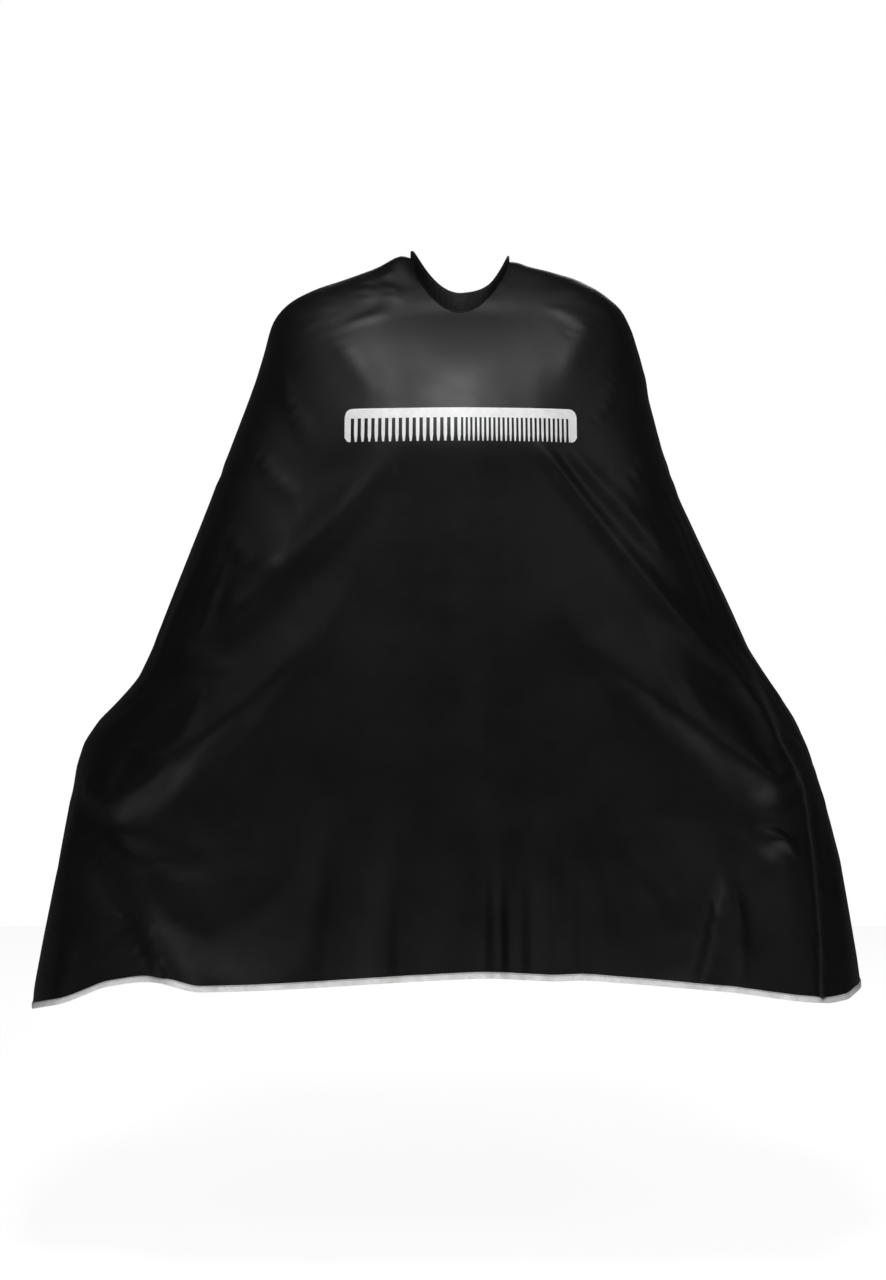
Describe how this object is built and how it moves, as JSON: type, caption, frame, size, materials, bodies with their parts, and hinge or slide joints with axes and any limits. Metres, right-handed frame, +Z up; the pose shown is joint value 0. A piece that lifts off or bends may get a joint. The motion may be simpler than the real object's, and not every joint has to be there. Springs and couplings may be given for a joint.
{
  "type": "barber cape",
  "caption": "Black satin barber cape draped as worn with both arms held out, slit back with two swinging flaps, stand-up neckband closed by a snap tab.",
  "frame": {"origin": "on the axis of the neck opening, half way up the neckband", "axes": "+Z up along the neck axis, the wearer faces -Y, +X is the wearer's left-hand side (right in the picture)"},
  "size_m": [1.103, 0.4709, 1.0071],
  "materials": {
    "cape_cloth": "satin",
    "interlining": "matt",
    "binding": "satin",
    "print": "semi-matt film",
    "label": "satin",
    "webbing": "matt",
    "plated_metal": "bright",
    "spring_steel": "plain",
    "cap_enamel": "gloss enamel"
  },
  "bodies": {
    "cape": {"front_panel": "cape_cloth", "front_band_cover": "cape_cloth", "front_band_interlining": "interlining", "front_band_lining": "cape_cloth", "front_hem_binding": "binding", "chest_print": "print"},
    "left_flap": {"left_back_panel": "cape_cloth", "left_back_band_cover": "cape_cloth", "left_back_band_interlining": "interlining", "left_back_band_lining": "cape_cloth", "left_back_hem_binding": "binding", "left_slit_facing": "cape_cloth", "stud_posts": "plated_metal", "snap_studs": "plated_metal"},
    "right_flap": {"right_back_panel": "cape_cloth", "right_back_band_cover": "cape_cloth", "right_back_band_interlining": "interlining", "right_back_band_lining": "cape_cloth", "right_back_hem_binding": "binding", "right_slit_facing": "cape_cloth"},
    "closing_tab": {"tab_cover": "cape_cloth", "tab_lining": "cape_cloth", "snap_caps": "cap_enamel", "snap_sockets": "plated_metal", "socket_springs": "spring_steel"},
    "loop": {"hanging_loop": "webbing"},
    "label": {"care_label": "label"}
  },
  "joints": [
    {"name": "right_flap_swing", "type": "hinge", "parent": "cape", "child": "right_flap", "pos_m": [0.055, 0.0573, 0.005], "axis": [0.1721, 0.2567, -0.9511], "range_deg": [0, 100]},
    {"name": "left_flap_swing", "type": "hinge", "parent": "cape", "child": "left_flap", "pos_m": [-0.055, 0.0573, 0.005], "axis": [0.1721, -0.2567, 0.9511], "range_deg": [0, 100]},
    {"name": "tab_peel", "type": "hinge", "parent": "right_flap", "child": "closing_tab", "pos_m": [0.002, 0.071, 0], "axis": [0, 0, -1], "range_deg": [0, 110]},
    {"name": "loop_swing", "type": "hinge", "parent": "right_flap", "child": "loop", "pos_m": [0.03, 0.069, -0.034], "axis": [1, 0, 0], "range_deg": [0, 120]},
    {"name": "label_flip", "type": "hinge", "parent": "right_flap", "child": "label", "pos_m": [0.041, 0.066, -0.038], "axis": [-1, 0, 0], "range_deg": [0, 90]}
  ],
  "couplings": [
    {"joint": "left_flap_swing", "follows": "right_flap_swing", "ratio": 1}
  ]
}
